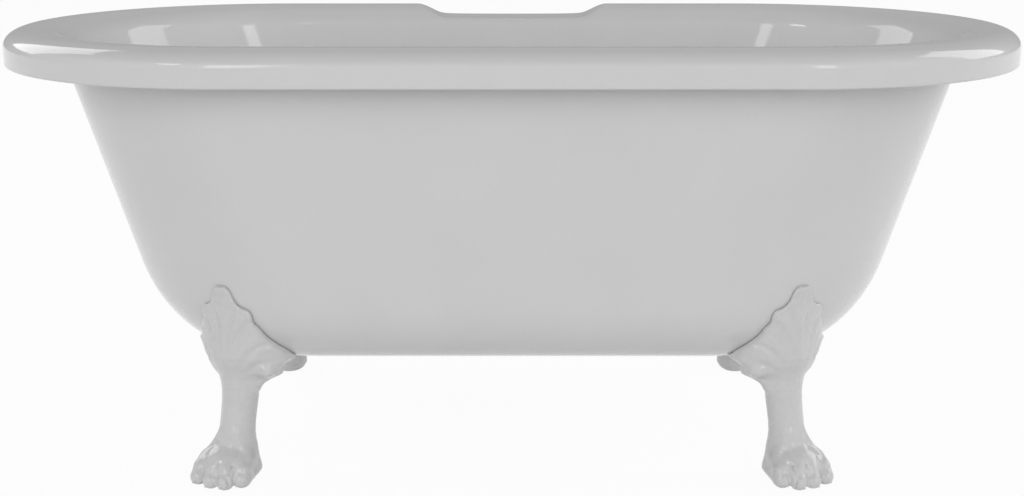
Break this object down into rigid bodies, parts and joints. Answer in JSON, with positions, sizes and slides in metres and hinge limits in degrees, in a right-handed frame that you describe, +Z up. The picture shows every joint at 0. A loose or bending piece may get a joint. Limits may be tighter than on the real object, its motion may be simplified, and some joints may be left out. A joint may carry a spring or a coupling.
{
  "type": "clawfoot bathtub",
  "caption": "Double-ended roll-top bath with a flat tap deck in its rear rim, a double skin, cast claw feet on levelling glides, and a pop-up waste worked by a dial on the overflow.",
  "frame": {"origin": "on the floor under the middle of the bath", "axes": "+X along the bath, +Y towards the tap deck at the back, +Z up"},
  "size_m": [1.5, 0.75, 0.63],
  "materials": {
    "bath_acrylic": "white acrylic, high gloss",
    "glass_fibre": "glass fibre and resin, as laid",
    "chipboard": "raw board",
    "softwood": "planed softwood",
    "foot_enamel": "white gloss enamel on a casting",
    "zinc_steel": "zinc plated",
    "insert_brass": "plain",
    "sole_rubber": "matt black",
    "seal_rubber": "matt black",
    "waste_chrome": "polished chrome",
    "waste_plastic": "moulded, fine grain",
    "hose_plastic": "moulded, grey",
    "cable_plastic": "extruded sheath",
    "clip_steel": "plain"
  },
  "bodies": {
    "tub": {"inner_shell": "bath_acrylic", "reinforcement_layer": "glass_fibre", "base_board": "chipboard", "bearer_left": "softwood", "bearer_right": "softwood", "bearer_screws": "zinc_steel", "outer_shell": "bath_acrylic", "foot_front_left": "foot_enamel", "foot_front_right": "foot_enamel", "foot_rear_left": "foot_enamel", "foot_rear_right": "foot_enamel", "foot_bolts": "zinc_steel", "foot_bolt_washers": "zinc_steel", "bearer_inserts": "insert_brass", "glide_lock_nuts": "zinc_steel", "waste_flange": "waste_chrome", "waste_flange_seal": "seal_rubber", "waste_body_seal": "seal_rubber", "waste_body": "waste_plastic", "overflow_rose": "waste_chrome", "overflow_front_seal": "seal_rubber", "overflow_rear_seal": "seal_rubber", "overflow_body": "waste_plastic", "overflow_hose": "hose_plastic", "hose_clips": "clip_steel", "control_cable": "cable_plastic"},
    "dial": {"overflow_dial": "waste_chrome"},
    "plug": {"plug_cap": "waste_chrome", "plug_seal": "seal_rubber", "plug_stem": "insert_brass"},
    "front_left_glide": {"glide_front_left": "zinc_steel", "glide_sole_front_left": "sole_rubber"},
    "front_right_glide": {"glide_front_right": "zinc_steel", "glide_sole_front_right": "sole_rubber"},
    "rear_left_glide": {"glide_rear_left": "zinc_steel", "glide_sole_rear_left": "sole_rubber"},
    "rear_right_glide": {"glide_rear_right": "zinc_steel", "glide_sole_rear_right": "sole_rubber"}
  },
  "joints": [
    {"name": "overflow_dial_turn", "type": "hinge", "parent": "tub", "child": "dial", "pos_m": [0, 0.27331, 0.52], "axis": [0, -0.9903, 0.1392], "range_deg": [0, 100]},
    {"name": "plug_lift", "type": "slide", "parent": "tub", "child": "plug", "axis": [0, 0, 1], "range_m": [0, 0.01]},
    {"name": "glide_front_left_screw", "type": "slide", "parent": "tub", "child": "front_left_glide", "axis": [0, 0, -1], "range_m": [0, 0.012]},
    {"name": "glide_front_right_screw", "type": "slide", "parent": "tub", "child": "front_right_glide", "axis": [0, 0, -1], "range_m": [0, 0.012]},
    {"name": "glide_rear_left_screw", "type": "slide", "parent": "tub", "child": "rear_left_glide", "axis": [0, 0, -1], "range_m": [0, 0.012]},
    {"name": "glide_rear_right_screw", "type": "slide", "parent": "tub", "child": "rear_right_glide", "axis": [0, 0, -1], "range_m": [0, 0.012]}
  ],
  "couplings": [
    {"joint": "overflow_dial_turn", "follows": "plug_lift", "rad_per_m": 174.53}
  ]
}
